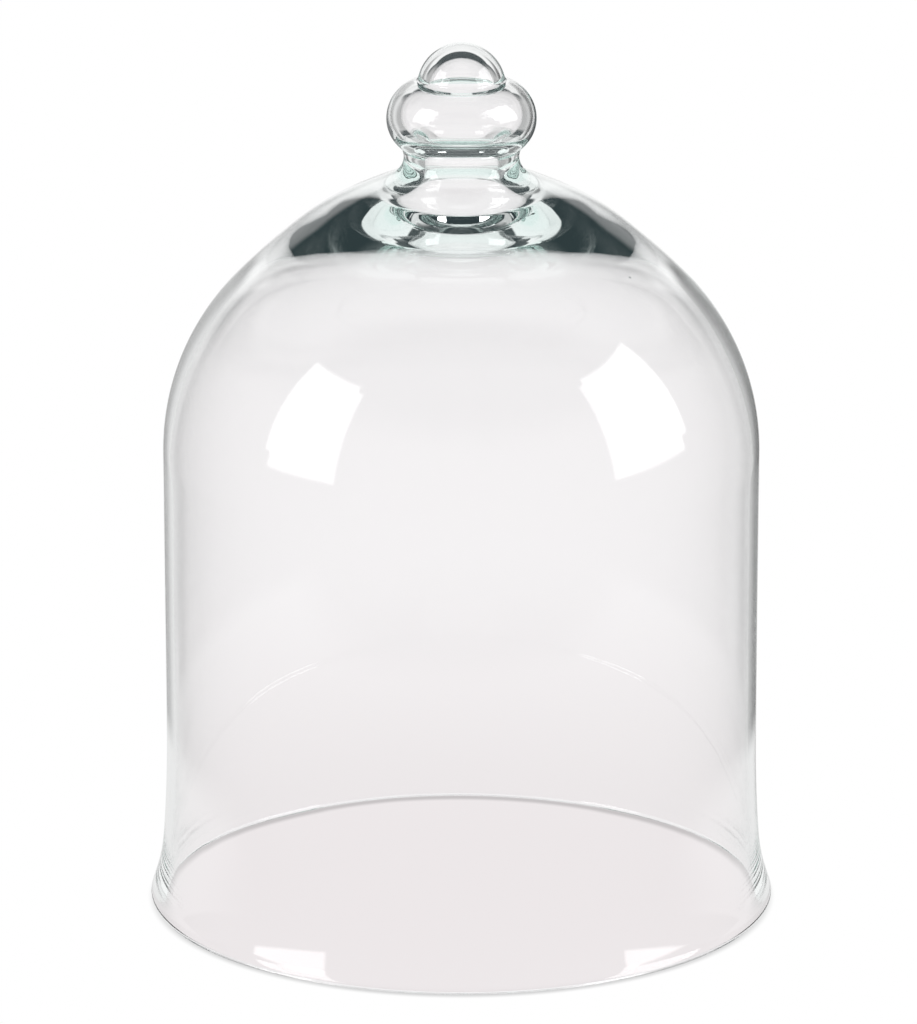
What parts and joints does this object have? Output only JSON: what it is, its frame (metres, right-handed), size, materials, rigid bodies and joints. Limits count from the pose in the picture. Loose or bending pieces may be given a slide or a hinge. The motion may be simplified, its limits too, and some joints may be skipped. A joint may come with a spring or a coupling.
{
  "type": "bell jar dome",
  "caption": "Clear blown-glass display dome with straight wall, flared round lip, thick rounded crown and a hollow bulb knob with a rounded tip; open at the bottom",
  "frame": {"origin": "centre of the ground lip, on the plane the dome stands on", "axes": "+Z is the dome's axis of revolution, pointing from the open mouth up to the knob; X and Y are free, because the dome is turned"},
  "size_m": [0.2206, 0.2206, 0.307],
  "materials": {
    "clear_glass": "fire-polished clear soda-lime glass, faintly green where it is thick, with the slight waves of hand blowing"
  },
  "bodies": {
    "root": {"bell": "clear_glass", "knob": "clear_glass"}
  },
  "joints": []
}
